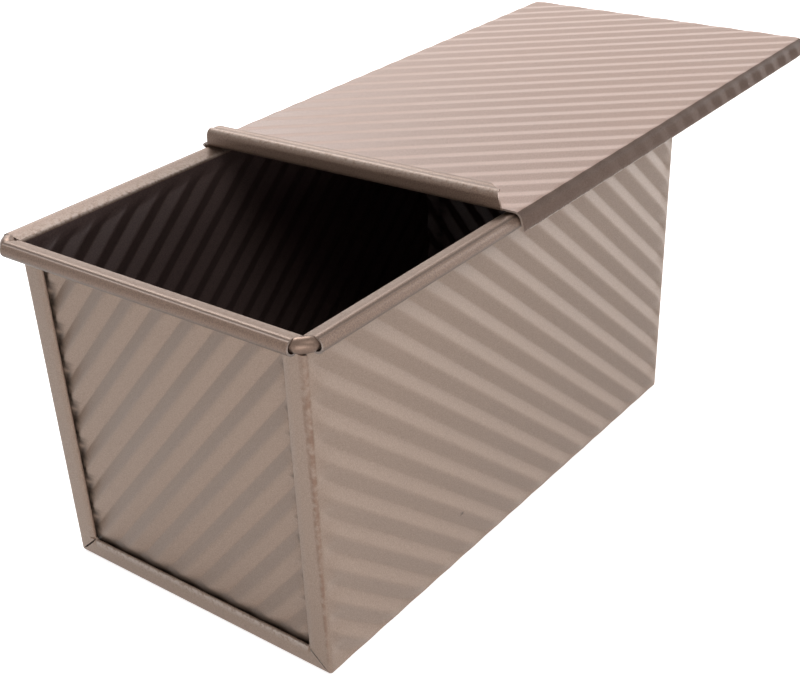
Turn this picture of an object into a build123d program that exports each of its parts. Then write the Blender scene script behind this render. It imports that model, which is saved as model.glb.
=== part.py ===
from build123d import *

import os
from math import asin, atan2, cos, degrees, hypot, radians, sin, tan

# Lidded loaf pan of corrugated sheet steel. Millimetres, +Z up.
# The origin is the middle of the flat bottom, X runs along the pan, and the lid slides towards +X to open.

# Pan body
base_length = 195.0
base_width = 105.4
pan_height = 110.0
wall_flare = 1.2
sheet = 0.6
fold_radius = 1.4
base_fold_radius = 1.2

# Folded frame on each short end, a doubled sheet round the recessed end panel
strip_width = 7.8
strip_height = 7.0
strip_top_drop = 5.7
mitre_gap = 0.4
seam_clearance = 0.1

# Wire and the rim rolled over it
wire_diameter = 3.5
wire_bend_radius = 4.0
wire_clearance = 0.05
wire_reach = 4.8
wire_drop = 1.0
roll_wrap_angle = 265.0
joggle_rise = 1.4
roll_root = 2.0

# Diagonal ribs, pressed as a shallow zigzag
rib_pitch = 8.84
rib_depth = 0.6
base_rib_depth = 0.5
rib_border = 3.0
panel_rib_border = 0.4
side_rib_angle = -40.3
side_rib_start = 2.1
end_rib_angle = 49.25
end_rib_start = 2.15

# Lid
lid_end_cover = 3.9
lid_open_at_rest = 89.0
lid_sheet = 0.6
lid_fold_radius = 3.0
lid_lift_clearance = 0.5
lid_side_clearance = 0.3
lid_hook_clearance = 0.4
lid_hook_width = 3.9
lid_hook_radius = 1.0
lid_rib_pitch = 8.72
lid_rib_depth = 0.5
lid_rib_angle = -51.25
lid_rib_start = 8.25
lid_rib_border = 1.6

# Curl turned up along the lid's near edge, the finger grip
curl_end_margin = 4.4
curl_offset = 2.0
curl_height = 6.6
curl_depth = 3.4
curl_return = 3.2
curl_foot_radius = 1.2
curl_top_radius = 1.6
curl_root = 3.0

# One overrun for every cut
overrun = 5.0

# Sizes that follow from the values above
hem = 2 * sheet
strip_top = pan_height - strip_top_drop
roll_radius = wire_diameter / 2 + wire_clearance + sheet
rim_half_length = base_length / 2 + wall_flare - sheet
rim_half_width = base_width / 2 + wall_flare - sheet
roll_overhang = wire_reach - wire_bend_radius - seam_clearance
wire_height = pan_height - wire_drop
rim_top = wire_height + roll_radius
rim_bottom = wire_height - roll_radius
rim_side = rim_half_width + wire_reach + roll_radius
ramp_angle = asin(roll_radius / hypot(wire_reach, wire_drop)) - atan2(wire_drop, wire_reach)

lid_underside = rim_top + lid_lift_clearance + lid_rib_depth / 2
lid_top = lid_underside + lid_sheet
lid_side = rim_side + lid_side_clearance + lid_sheet
lid_bottom = rim_bottom - lid_hook_clearance - lid_sheet
lid_length = 2 * (rim_half_length + lid_end_cover)
lid_near = lid_open_at_rest - lid_length / 2
lid_far = lid_near + lid_length
curl_width = 2 * (lid_side - curl_end_margin)


def lean(height):
    """How far a wall has leaned outward at a height above the bottom."""
    return wall_flare * height / pan_height


def side_face(height, inset):
    """Distance from the middle to a long wall at a height, set in from its outer face."""
    return base_width / 2 + lean(height) - inset


def end_face(height, inset):
    """Distance from the middle to a short end at a height, set in from its outer face."""
    return base_length / 2 + lean(height) - inset


def level_outline(height, end_inset, side_inset, corner):
    """Sketch of the pan's outline at one height, set in from its outer faces."""
    RectangleRounded(2 * end_face(height, end_inset), 2 * side_face(height, side_inset), corner)


def stepped_outline(low, low_inset, high_inset):
    """Sketch across the pan from a height to above the rim, set in more below the strips' tops than above."""
    high = pan_height + overrun
    with BuildLine() as edge:
        Polyline(
            (0, low),
            (side_face(low, low_inset), low),
            (side_face(strip_top, low_inset), strip_top),
            (side_face(strip_top, high_inset), strip_top),
            (side_face(pan_height, high_inset), pan_height),
            (side_face(pan_height, high_inset), high),
            (0, high),
        )
        mirror(about=Plane.YZ)
    make_face(edge.edges())


def rolled_sheet(half_span, inner_face, outer_face):
    """Face of a sheet seen end on: up its wall, out over the rim and round the wire.

    inner_face and outer_face are the wall's points below the rim, from the bottom up.
    """
    centre = (half_span + wire_reach, wire_height)
    start = 90 + degrees(ramp_angle)
    with BuildLine() as edge:
        outside = CenterArc(centre, roll_radius, start, -roll_wrap_angle)
        inside = CenterArc(centre, roll_radius - sheet, start, -roll_wrap_angle)
        Line(outside @ 1, inside @ 1)
        ramp = inside @ 0
        neck = (half_span + sheet, ramp.Y - (ramp.X - half_span - sheet) * tan(ramp_angle))
        Polyline(*inner_face, (half_span, pan_height), outside @ 0)
        Polyline(inside @ 0, neck, *reversed(outer_face))
        Line(inner_face[0], outer_face[0])
    make_face(edge.edges())


def ribbed_field(face, outline, ribs, thickness, reach):
    """Sheet of straight ribs inside an outline on a plane, its outer face zigzagging about the plane.

    ribs holds the ribs' turn from the plane's x axis, their pitch and depth, and the first crest's
    distance from the plane's origin.
    """
    angle, pitch, depth, start = ribs
    along = face.x_dir * cos(radians(angle)) + face.y_dir * sin(radians(angle))
    across = face.y_dir * cos(radians(angle)) - face.x_dir * sin(radians(angle))
    half_turns = range(-round(reach / pitch) * 2, round(reach / pitch) * 2 + 1)
    crests = [(start + i * pitch / 2, depth / 2 if i % 2 == 0 else -depth / 2) for i in half_turns]
    with BuildPart() as field:
        with BuildSketch(Plane(origin=face.origin, x_dir=across, z_dir=along)):
            with BuildLine():
                Polyline(*crests, *[(x, y - thickness) for x, y in reversed(crests)], close=True)
            make_face()
        extrude(amount=reach, both=True)
        with BuildSketch(face):
            add(outline)
        extrude(amount=depth + thickness, both=True, mode=Mode.INTERSECT)
    return field.part


def leaning_plane(outward, half_span):
    """Plane of a leaning outer face, its origin at the foot and its y axis up the face."""
    slope = atan2(wall_flare, pan_height)
    normal = Vector(*outward) * cos(slope) - Vector(0, 0, 1) * sin(slope)
    return Plane(origin=Vector(*outward) * half_span, x_dir=Vector(0, 0, 1).cross(normal), z_dir=normal)


os.makedirs("parts", exist_ok=True)

# Rib fields of the body, one for each long wall and one for the bottom
side_field_low = base_fold_radius + rib_border
side_field_high = rim_bottom - rib_border
with BuildSketch() as side_field_outline:
    with Locations((0, (side_field_low + side_field_high) / 2)):
        Rectangle(base_length - 2 * (fold_radius + rib_border), side_field_high - side_field_low)
with BuildSketch() as base_field_outline:
    Rectangle(base_length - 2 * (hem + rib_border + sheet), base_width - 2 * (base_fold_radius + rib_border))

side_planes = [leaning_plane(outward, base_width / 2) for outward in ((0, -1, 0), (0, 1, 0))]
side_ribs = (side_rib_angle, rib_pitch, rib_depth, side_rib_start)
side_fields = [
    ribbed_field(plane, side_field_outline.sketch, side_ribs, sheet, base_length) for plane in side_planes
]
base_plane = Plane.XY.offset(sheet + base_rib_depth / 2)
base_ribs = (-side_rib_angle, rib_pitch, base_rib_depth, side_rib_start)
base_field = ribbed_field(base_plane, base_field_outline.sketch, base_ribs, sheet, base_length)

# Space inside the pan
with BuildPart() as cavity:
    with BuildSketch(Plane.XY.offset(sheet)):
        level_outline(sheet, hem, sheet, fold_radius - sheet)
    with BuildSketch(Plane.XY.offset(pan_height + overrun)):
        level_outline(pan_height + overrun, hem, sheet, fold_radius - sheet)
    loft()
    fillet(cavity.edges().group_by(Axis.Z)[0], base_fold_radius - sheet)

# Body: long walls, bottom and the folded frame of both ends, one sheet
with BuildPart() as body_shell:
    with BuildSketch():
        level_outline(0, 0, 0, fold_radius)
    with BuildSketch(Plane.XY.offset(pan_height)):
        level_outline(pan_height, 0, 0, fold_radius)
    loft()
    fillet(body_shell.edges().group_by(Axis.Z)[0], base_fold_radius)
    add(cavity.part, mode=Mode.SUBTRACT)

    # Windows of both ends, full width above the strips
    with BuildSketch(Plane.YZ):
        stepped_outline(strip_height, strip_width, sheet)
    extrude(amount=base_length, both=True, mode=Mode.SUBTRACT)

    # Mitred lower corners of the frames
    mitre_low = (side_face(0, sheet + base_fold_radius), sheet + base_fold_radius)
    mitre_high = (side_face(strip_height, strip_width), strip_height)
    mitre_run = hypot(mitre_low[0] - mitre_high[0], mitre_high[1] - mitre_low[1])
    mitre_angle = degrees(atan2(mitre_high[1] - mitre_low[1], mitre_high[0] - mitre_low[0]))
    with BuildSketch(Plane.YZ):
        with Locations(((mitre_low[0] + mitre_high[0]) / 2, (mitre_low[1] + mitre_high[1]) / 2)):
            Rectangle(mitre_run + mitre_gap, mitre_gap, rotation=mitre_angle)
        mirror(about=Plane.YZ)
    extrude(amount=base_length, both=True, mode=Mode.SUBTRACT)

    # Flat sheet gives way to the ribs
    for plane, field in zip(side_planes, side_fields):
        with BuildSketch(plane):
            add(side_field_outline.sketch)
        extrude(amount=sheet * 2, both=True, mode=Mode.SUBTRACT)
        add(field)
    with BuildSketch(base_plane):
        add(base_field_outline.sketch)
    extrude(amount=sheet * 2, both=True, mode=Mode.SUBTRACT)
    add(base_field)

    # Long rims, rolled over the wire
    root = pan_height - roll_root
    with BuildSketch(Plane.YZ):
        rolled_sheet(rim_half_width, [(side_face(root, sheet), root)], [(side_face(root, 0), root)])
        mirror(about=Plane.YZ)
    extrude(amount=rim_half_length + roll_overhang, both=True)

body_shell.part.label = "body_shell"
export_step(body_shell.part, "parts/body_shell.step")

# End panels, behind the frames and rolled over the wire above them
panel_inset = hem + seam_clearance
panel_foot = base_fold_radius + seam_clearance
joggle_low = strip_top + seam_clearance
joggle_high = joggle_low + joggle_rise
panel_field_width = 2 * (side_face(strip_height, strip_width) - panel_rib_border)
panel_field_height = strip_top - strip_height - 2 * panel_rib_border
with BuildSketch() as panel_field_outline:
    with Locations((0, (strip_top + strip_height) / 2)):
        Rectangle(panel_field_width, panel_field_height)

for name, outward in (("end_panel_near", Vector(-1, 0, 0)), ("end_panel_far", Vector(1, 0, 0))):
    panel_plane = leaning_plane(outward, base_length / 2 - panel_inset)
    panel_ribs = (end_rib_angle, rib_pitch, rib_depth, end_rib_start)
    panel_field = ribbed_field(panel_plane, panel_field_outline.sketch, panel_ribs, sheet, base_length)
    with BuildPart() as end_panel:
        with BuildSketch(Plane(origin=(0, 0, 0), x_dir=outward, z_dir=outward.cross(Vector(0, 0, 1)))):
            rolled_sheet(
                rim_half_length,
                [
                    (end_face(panel_foot, panel_inset + sheet), panel_foot),
                    (end_face(joggle_low, panel_inset + sheet), joggle_low),
                    (end_face(joggle_high, sheet), joggle_high),
                ],
                [
                    (end_face(panel_foot, panel_inset), panel_foot),
                    (end_face(joggle_low, panel_inset), joggle_low),
                    (end_face(joggle_high, 0), joggle_high),
                ],
            )
        extrude(amount=base_width, both=True)
        with BuildSketch(Plane.YZ):
            stepped_outline(0, fold_radius + seam_clearance, sheet + seam_clearance)
        extrude(amount=base_length, both=True, mode=Mode.INTERSECT)
        with BuildSketch(panel_plane):
            add(panel_field_outline.sketch)
        extrude(amount=sheet * 2, both=True, mode=Mode.SUBTRACT)
        add(panel_field)

    end_panel.part.label = name
    export_step(end_panel.part, f"parts/{name}.step")

# Rim wire, one closed ring that shows bare at the four corners
ring_length = 2 * (rim_half_length + wire_reach)
ring_width = 2 * (rim_half_width + wire_reach)
with BuildPart() as rim_wire:
    with BuildLine(Plane.XY.offset(wire_height)) as ring:
        FilletPolyline(
            (-ring_length / 2, -ring_width / 2),
            (ring_length / 2, -ring_width / 2),
            (ring_length / 2, ring_width / 2),
            (-ring_length / 2, ring_width / 2),
            radius=wire_bend_radius,
            close=True,
        )
    with BuildSketch(Plane(origin=ring.line @ 0, z_dir=ring.line % 0)):
        Circle(wire_diameter / 2)
    sweep()

rim_wire.part.label = "rim_wire"
export_step(rim_wire.part, "parts/rim_wire.step")


def hooked_edge(inset, radii):
    """One face of the lid's sheet seen end on, from one hook's edge to the other's."""
    hook_edge = lid_side - lid_hook_width
    side = lid_side - inset
    top = lid_top - inset
    bottom = lid_bottom + inset
    right = [(side, top), (side, bottom), (hook_edge, bottom)]
    left = [(-y, z) for y, z in reversed(right)]
    FilletPolyline(*left, *right, radius=radii)


def curl_edge(inset, radii):
    """One face of the curl's sheet seen end on, from the lid's plane up and back over."""
    front = lid_near + inset
    back = lid_near + curl_depth - inset
    top = lid_underside + curl_height - inset
    foot = lid_underside + inset
    return_end = lid_underside + curl_height - curl_return
    root = lid_near + curl_root
    FilletPolyline((root, foot), (front, foot), (front, top), (back, top), (back, return_end), radius=radii)


# Lid: ribbed plate, sides hooked in under the long rims, near edge curled up, one sheet
lid_plate_edge = lid_side - lid_fold_radius - lid_rib_border
lid_field_near = lid_near + curl_depth + lid_rib_border
lid_field_far = lid_far - lid_rib_border
with BuildSketch() as lid_field_outline:
    with Locations(((lid_field_near + lid_field_far) / 2, 0)):
        Rectangle(lid_field_far - lid_field_near, 2 * lid_plate_edge)
lid_plane = Plane.XY.offset(lid_top)
lid_ribs = (lid_rib_angle, lid_rib_pitch, lid_rib_depth, lid_rib_start)
lid_field = ribbed_field(lid_plane, lid_field_outline.sketch, lid_ribs, lid_sheet, lid_length)

with BuildPart() as lid:
    with BuildSketch(Plane.YZ.offset(lid_near)):
        with BuildLine():
            fold_radii = [lid_hook_radius, lid_fold_radius, lid_fold_radius, lid_hook_radius]
            hooked_edge(0, fold_radii)
            hooked_edge(lid_sheet, [radius - lid_sheet for radius in fold_radii])
            for side in (-1, 1):
                hook_edge = side * (lid_side - lid_hook_width)
                Line((hook_edge, lid_bottom), (hook_edge, lid_bottom + lid_sheet))
        make_face()
    extrude(amount=lid_length)

    # The plate gives way to the curl and to the ribs
    with BuildSketch(lid_plane):
        with Locations((lid_near + curl_root / 2, curl_offset)):
            Rectangle(curl_root, curl_width)
        add(lid_field_outline.sketch)
    extrude(amount=lid_sheet * 2, both=True, mode=Mode.SUBTRACT)
    add(lid_field)

    with BuildSketch(Plane(origin=(0, curl_offset, 0), x_dir=(1, 0, 0), z_dir=(0, -1, 0))):
        with BuildLine():
            curl_radii = [curl_foot_radius, curl_top_radius, curl_top_radius]
            curl_edge(0, curl_radii)
            curl_edge(lid_sheet, [radius - lid_sheet for radius in curl_radii])
            curl_back = lid_near + curl_depth
            return_end = lid_underside + curl_height - curl_return
            Line((lid_near + curl_root, lid_underside), (lid_near + curl_root, lid_top))
            Line((curl_back, return_end), (curl_back - lid_sheet, return_end))
        make_face()
    extrude(amount=curl_width / 2, both=True)

lid.part.label = "lid"
export_step(lid.part, "parts/lid.step")
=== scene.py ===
import math
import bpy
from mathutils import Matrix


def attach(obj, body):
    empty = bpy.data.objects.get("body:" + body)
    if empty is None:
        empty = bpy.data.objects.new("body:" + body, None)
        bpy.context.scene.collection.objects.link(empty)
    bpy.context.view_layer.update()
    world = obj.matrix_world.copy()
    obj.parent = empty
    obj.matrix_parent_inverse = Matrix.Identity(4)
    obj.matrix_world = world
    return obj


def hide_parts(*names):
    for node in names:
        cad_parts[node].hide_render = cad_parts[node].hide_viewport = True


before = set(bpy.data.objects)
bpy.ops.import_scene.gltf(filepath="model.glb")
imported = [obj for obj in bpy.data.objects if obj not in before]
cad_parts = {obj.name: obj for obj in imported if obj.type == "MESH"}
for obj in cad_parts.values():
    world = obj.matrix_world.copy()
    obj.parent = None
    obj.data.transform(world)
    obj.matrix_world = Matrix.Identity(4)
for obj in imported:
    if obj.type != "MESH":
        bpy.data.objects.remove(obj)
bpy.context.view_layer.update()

from types import SimpleNamespace

import bmesh
import bpy
import numpy as np
from mathutils import Matrix, Vector

MM = 0.001

# Sizes in millimetres and degrees that are the CAD model's own
BASE_LENGTH = 195.0
BASE_WIDTH = 105.4
PAN_HEIGHT = 110.0
WALL_FLARE = 1.2
SHEET = 0.6
STRIP_WIDTH = 7.8
STRIP_HEIGHT = 7.0
STRIP_TOP = 104.3
SEAM_GAP = 0.1
WIRE_RADIUS = 1.75
WIRE_REACH = 4.8
WIRE_DROP = 1.0
ROLL_RADIUS = 2.4
ROLL_WRAP = 265.0
RIM_HALF_LENGTH = BASE_LENGTH / 2 + WALL_FLARE - SHEET
RIM_HALF_WIDTH = BASE_WIDTH / 2 + WALL_FLARE - SHEET
LID_TOP = 112.75
LID_SIDE = 61.4
LID_BOTTOM = 105.6
LID_NEAR = -13.0
LID_FAR = 191.0
LID_HOOK_RADIUS = 1.0
LID_HOOK_WIDTH = 3.9
CURL_FOOT_RADIUS = 1.2
RIB_PITCH = 8.84
BASE_RIB_DEPTH = 0.5

# Ribs: their turn, their pitch and the first crest's distance from the origin, as in the CAD model
SIDE_RIBS = {"angle": 40.3, "pitch": RIB_PITCH, "start": 2.1}
END_RIBS = {"angle": 49.25, "pitch": RIB_PITCH, "start": 2.15}
LID_RIBS = {"angle": 51.25, "pitch": 8.72, "start": 8.25}

# The sizes from here on are this model's own, to follow the photograph where the CAD model is plainer

# Folds, frames and end panels
FOLD_RADIUS = 1.2
FOLD_BEND = FOLD_RADIUS - SHEET
WALL_INNER = BASE_WIDTH / 2 - SHEET
MITRE_GAP = 0.35
MITRE_STEP = 0.02
SIDE_MITRE_TOP = (STRIP_WIDTH + MITRE_GAP) * STRIP_HEIGHT / STRIP_WIDTH
BASE_MITRE_END = BASE_WIDTH / 2 - (STRIP_HEIGHT + MITRE_GAP) * STRIP_WIDTH / STRIP_HEIGHT
HEM_GAP = 0.05
HEM_BACK = 3.5
PANEL_INSET = 1.8
PANEL_FOOT_GAP = 0.15
JOGGLE_RISE = 0.3
JOGGLE_RADIUS = 0.8

# Rims and wire
RIM_START = PAN_HEIGHT - 2.0
RIM_EDGE_RADIUS = 0.7
RIM_EDGE_MARGIN = 0.15
ROLL_OVERHANG = 0.9
ROLL_OVERHANG_RUN = 3.0
GROOVE_ANGLE = 66.0
GROOVE_DEPTH = 0.13
GROOVE_WIDTH = 0.9
GROOVE_SHARPNESS = 2.2
ROLL_MARGIN = 0.1
WIRE_BEND = 7.0
WIRE_ELBOW_INSET = 1.5
WIRE_RISE = 0.3
WIRE_RISE_REACH = 10.0
WIRE_RISE_RUN = 6.0
WIRE_SWELL = 0.45
WIRE_SWELL_REACH = 3.4
WIRE_SWELL_RUN = 1.5

# Ribs: depths, and the distances over which they fade
RIB_DEPTH = 1.15
END_RIB_DEPTH = 1.6
LID_RIB_DEPTH = 0.45
LID_WEB_RIB_DEPTH = 0.55
LID_WEB_RIB_SHIFT = 0.4
RIB_ROUNDING = 0.965
RIB_CUT_SHARES = (0.0, 0.035, 0.07, 0.11, 0.39, 0.43, 0.465, 0.5, 0.535, 0.57, 0.61, 0.89, 0.93, 0.965)
FOLD_PRESS = 0.8
FOLD_PRESS_WIDTH = 1.6
LID_FOLD_PRESS_WIDTH = 1.1
WALL_END_FADE = 3.5
RIM_BORDER = 3.0
BASE_RIB_HEIGHT = 4.0
PANEL_TOP_FADE = 2.5
PANEL_PRESS_BESIDE = 1.0
PANEL_PRESS_ABOVE = 0.6
PANEL_PRESS_ABOVE_WIDTH = 1.8

# Lid and its curl
LID_FOLD_RADIUS = 2.4
LID_WEB_SLANT = 1.6
LID_WEB_SLANT_START = 0.5
LID_HOOK_SETBACK = 4.0
LID_NEAR_SKEW = 4.0
LID_NEAR_FADE = 5.0
LID_FAR_FADE = 2.0
LID_FAR_FADED = 0.4
LID_HOOK_MARGIN = 0.3
LID_HOOK_FADE = 1.2
LID_HOOK_START = 0.05
LID_WEB_START = 0.1
WEB_RIBS_LEAST = 0.12
WEB_RIBS_START = 20
WEB_RIBS_RUN = 150
CURL_LOW = -55.0
CURL_HIGH = 57.5
CURL_HEIGHT = 6.0
CURL_DEPTH = 6.0
CURL_TOP_RADIUS = 2.4
CURL_BACK_RADIUS = 0.9
CURL_FOOT_SHARE = 0.98
CURL_BACK_GAP = 0.2
CURL_STEP = 0.25
CURL_LOW_TRIM = 2.6
CURL_HIGH_TRIM = 0.5
CURL_RETURN = 4.5
CURL_LOW_RETURN_TRIM = 8.0
CURL_HIGH_RETURN_TRIM = 2.5
CURL_GROOVE = 2.9
CURL_GROOVE_DEPTH = 0.35
CURL_GROOVE_WIDTH = 0.7
CURL_GROOVE_BAND = 0.5

# Painted light and shade: shares of a full painted highlight or of full painted shade on the coat, and where
# they lie, in millimetres or degrees round a roll
EDGE_HIGHLIGHT_AT = 0.25
EDGE_HIGHLIGHT_WIDTH = 0.3
GROOVE_SHADE = 0.5
GROOVE_SHADE_WIDTH = 9.0
UNDER_SHADE = 0.55
UNDER_SHADE_START = 10.0
UNDER_SHADE_RUN = 50.0
HEM_HIGHLIGHT = 0.65
HOOK_HIGHLIGHT_WIDTH = 0.45
PANEL_SHADE_LEFT = 1.5
PANEL_SHADE_RIGHT = 0.6
PANEL_SHADE_LOW = 2.2
JOGGLE_SHADE = 1.2
SIDE_FACE_SHADE = 0.12
END_FACE_SHADE = 0.2
LID_FACE_SHADE = 0.09
LID_FACE_SHADE_RUN = 130
LID_FACE_START = 0.1
LID_FACE_RUN = 0.6
WEB_STRIP_LIGHT = 0.3
WEB_STRIP_START = 0.45
WEB_STRIP_RUN = 0.35
CURL_HIGHLIGHT = 0.5
CURL_HIGHLIGHT_BACK = 0.7
CURL_HIGHLIGHT_DROP = 0.4
CURL_HIGHLIGHT_SPREAD = 0.5
CURL_FRONT_SHADE = 0.35
CURL_FRONT_SHADE_TOP = 1.6
CURL_FRONT_SHADE_RUN = 2.0
CURL_FRONT_SHADE_BACK = 1.0
CURL_GROOVE_SHADE = 0.4
CURL_GROOVE_SHADE_WIDTH = 0.45
CURL_GROOVE_SHADE_BAND = 0.8

# How finely the sheets are divided, and what counts as the same place
ROW_STEP = 1.5
CORNER_SEGMENTS = 7
JOGGLE_SEGMENTS = 4
LID_SEGMENTS = 8
CURL_SEGMENTS = 9
ARC_SEGMENTS = 6
HEM_SEGMENTS = 8
STRIP_POINTS = 2
ROLL_POINTS = 60
GROOVE_POINTS = 9
WIRE_BEND_POINTS = 17
WIRE_SIDES = 24
WIRE_STEP = 4.0
SNAP = 0.3
WELD = 0.02
CLOSE = 0.01
NO_WIDTH = 1e-4
SHARP_ANGLE = 38

# Finishes of a sheet, as numbered in its list of materials
PLAIN, RIM, SHADED_WEB = 0, 1, 2

# Looks of the coats: scales of noise per metre and the ranges used of it, shares, metres and a colour
SPECKLE_SCALE = 2600
SPECKLE_RANGE = (0.32, 0.68)
PATCH_SCALE = 900
PATCH_RANGE = (0.35, 0.55)
SPOT_SCALE = 500
SPOT_RANGE = (0.35, 0.6)
CLOUD_SCALE = 28
CLOUD_SHARE = 0.25
GLOSS_SPREAD = 0.06
PEEL_DEPTH = 0.0002
# How far a full share of painted shade darkens the coat, and the colour of painted highlights
PAINTED_SHADE_SHARE = 0.12
PAINTED_HIGHLIGHT = (0.75, 0.66, 0.6, 1)

# Floor, world and lamps
FLOOR_HALF_SIZE = 4.0
FLOOR_DROP = 0.0002
FLOOR_GLOW = 0.82
WORLD_LIGHT = 0.04
LAMP_AIM = Vector((-0.02, 0.0, 0.06))
# Each lamp's name, its place and its size in metres, and its power in watts
LAMPS = (
    ("key_light", (2.92, -0.62, 0.36), 0.9, 80.0),
    ("back_light", (0.58, 0.96, 1.21), 0.8, 18.0),
    ("high_right_light", (-0.3, -0.9, 1.2), 0.8, 3.6),
    ("sheen_light", (1.42, 0.62, 0.53), 0.8, 1.6),
    ("near_right_light", (-0.30, -0.45, 0.05), 0.3, 0.2),
    ("near_left_light", (-0.45, -0.25, 0.05), 0.3, 0.9),
)


def lean(z):
    """How far a wall has leaned outward at a height."""
    return WALL_FLARE * z / PAN_HEIGHT


def smooth(x):
    """Smooth step from 0 at x 0 to 1 at x 1."""
    x = np.clip(x, 0.0, 1.0)
    return x * x * (3 - 2 * x)


def peak(x):
    """1 at x 0, falling smoothly to nearly 0 at x 2 and -2."""
    return np.exp(-x ** 2)


def rounded(points, radii, segments=CORNER_SEGMENTS):
    """Points of a flat path with its inner corners rounded, one radius for each inner corner."""
    points = [np.array(p, float) for p in points]
    path = [points[0]]
    for before, corner, after, radius in zip(points, points[1:], points[2:], radii):
        come = (corner - before) / np.linalg.norm(corner - before)
        go = (after - corner) / np.linalg.norm(after - corner)
        turn = math.acos(np.clip(come @ go, -1, 1))
        start = corner - come * (radius * math.tan(turn / 2))
        inward = go - come * (come @ go)
        inward /= np.linalg.norm(inward)
        centre = start + inward * radius
        for k in range(segments + 1):
            a = turn * k / segments
            path.append(centre - inward * radius * math.cos(a) + come * radius * math.sin(a))
    path.append(points[-1])
    return np.array(path)


def subdivided(path, step, stops=()):
    """The path with its long runs divided, and with a point wherever a coordinate passes one of its stops."""
    made = [path[0]]
    for a, b in zip(path, path[1:]):
        count = max(1, math.ceil(np.linalg.norm(b - a) / step))
        shares = [k / count for k in range(1, count)]
        for axis, stop in stops:
            if (a[axis] - stop) * (b[axis] - stop) < 0:
                shares.append((stop - a[axis]) / (b[axis] - a[axis]))
        made += [a + (b - a) * t for t in sorted(shares)]
        made.append(b)
    return np.array(made)


def mirrored(half):
    """A whole section from the half that starts on its middle line."""
    return np.concatenate([half[::-1] * [-1, 1], half[1:]])


def run_lengths(path):
    """Distance along a path at each of its points."""
    return np.concatenate([[0], np.cumsum(np.linalg.norm(np.diff(path, axis=0), axis=1))])


def section_normals(section):
    """Unit normals of a whole section, on the side that faces up in its middle."""
    tangent = np.gradient(section, axis=0)
    tangent /= np.linalg.norm(tangent, axis=1)[:, None]
    normals = np.stack([-tangent[:, 1], tangent[:, 0]], 1)
    return normals if normals[len(section) // 2][1] > 0 else -normals


def rib_direction(ribs):
    """Cosine and sine of the ribs' turn."""
    turn = math.radians(ribs["angle"])
    return math.cos(turn), math.sin(turn)


def rib_wave(across, ribs):
    """Height of the rounded zigzag at a distance across the ribs, from -1 to 1."""
    turn = 2 * math.pi * (across - ribs["start"]) / ribs["pitch"]
    return np.arcsin(RIB_ROUNDING * np.cos(turn)) / math.asin(RIB_ROUNDING)


def rib_faces(across, ribs, side):
    """1 in the middle of the face after each crest and -1 before it, or for side -1 the other way round."""
    return rib_wave(across - side * ribs["pitch"] / 4, ribs)


def rib_columns(ribs, low, high):
    """Distances across the ribs at which the sheet is divided, close together at crests and valleys."""
    first = math.floor((low - ribs["start"]) / ribs["pitch"]) - 1
    last = math.ceil((high - ribs["start"]) / ribs["pitch"]) + 1
    crests = range(first, last + 1)
    return np.array([ribs["start"] + (k + share) * ribs["pitch"] for k in crests for share in RIB_CUT_SHARES])


def cut_between(x, low, high):
    """Places cut off at a sheet's ends, with those that nearly reach an end moved onto it."""
    x = np.where(x < low + SNAP, low, x)
    return np.where(x > high - SNAP, high, x)


def lifted(x, section, lift):
    """Grid points of a section's rows, at places along it, moved by a lift along the section's normals."""
    return np.stack([
        x,
        section.y[:, None] + section.normals[:, 0][:, None] * lift,
        section.z[:, None] + section.normals[:, 1][:, None] * lift,
    ], -1)


def add_object(name, data):
    """A new object in the scene."""
    made = bpy.data.objects.new(name, data)
    bpy.context.scene.collection.objects.link(made)
    return made


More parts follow.
